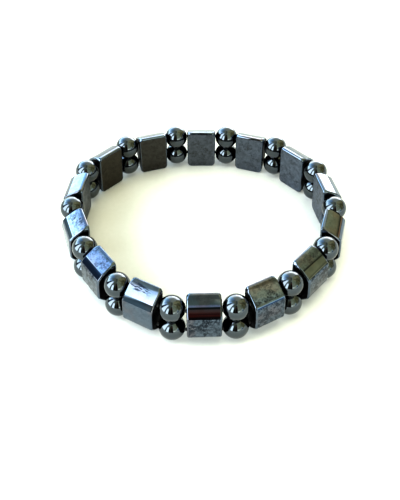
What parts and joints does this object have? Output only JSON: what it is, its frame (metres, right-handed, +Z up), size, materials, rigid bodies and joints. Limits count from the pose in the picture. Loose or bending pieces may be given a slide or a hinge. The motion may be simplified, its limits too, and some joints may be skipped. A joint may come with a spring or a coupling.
{
  "type": "magnetic bracelet",
  "caption": "Two-strand stretch bracelet of faceted dark grey block beads and stacked pairs of mirror-polished round beads, lying flat as an open loop.",
  "frame": {"origin": "on the resting surface, below the middle of the loop's box", "axes": "+Z up along the loop's axis, -Y to the front block, +X to the right of it"},
  "size_m": [0.0718, 0.066, 0.0126],
  "materials": {
    "block_hematite": "polished facets, finely mottled, satin on the wrist side",
    "round_hematite": "mirror-polished dark grey",
    "elastic": "matt black"
  },
  "bodies": {
    "root": {"block_bead_01": "block_hematite", "block_bead_02": "block_hematite", "block_bead_03": "block_hematite", "block_bead_04": "block_hematite", "block_bead_05": "block_hematite", "block_bead_06": "block_hematite", "block_bead_07": "block_hematite", "block_bead_08": "block_hematite", "block_bead_09": "block_hematite", "block_bead_10": "block_hematite", "block_bead_11": "block_hematite", "block_bead_12": "block_hematite", "block_bead_13": "block_hematite", "block_bead_14": "block_hematite", "round_bead_upper_01": "round_hematite", "round_bead_upper_02": "round_hematite", "round_bead_upper_03": "round_hematite", "round_bead_upper_04": "round_hematite", "round_bead_upper_05": "round_hematite", "round_bead_upper_06": "round_hematite", "round_bead_upper_07": "round_hematite", "round_bead_upper_08": "round_hematite", "round_bead_upper_09": "round_hematite", "round_bead_upper_10": "round_hematite", "round_bead_upper_11": "round_hematite", "round_bead_upper_12": "round_hematite", "round_bead_upper_13": "round_hematite", "round_bead_upper_14": "round_hematite", "round_bead_lower_01": "round_hematite", "round_bead_lower_02": "round_hematite", "round_bead_lower_03": "round_hematite", "round_bead_lower_04": "round_hematite", "round_bead_lower_05": "round_hematite", "round_bead_lower_06": "round_hematite", "round_bead_lower_07": "round_hematite", "round_bead_lower_08": "round_hematite", "round_bead_lower_09": "round_hematite", "round_bead_lower_10": "round_hematite", "round_bead_lower_11": "round_hematite", "round_bead_lower_12": "round_hematite", "round_bead_lower_13": "round_hematite", "round_bead_lower_14": "round_hematite", "elastic_cord_upper": "elastic", "elastic_cord_lower": "elastic"}
  },
  "joints": []
}
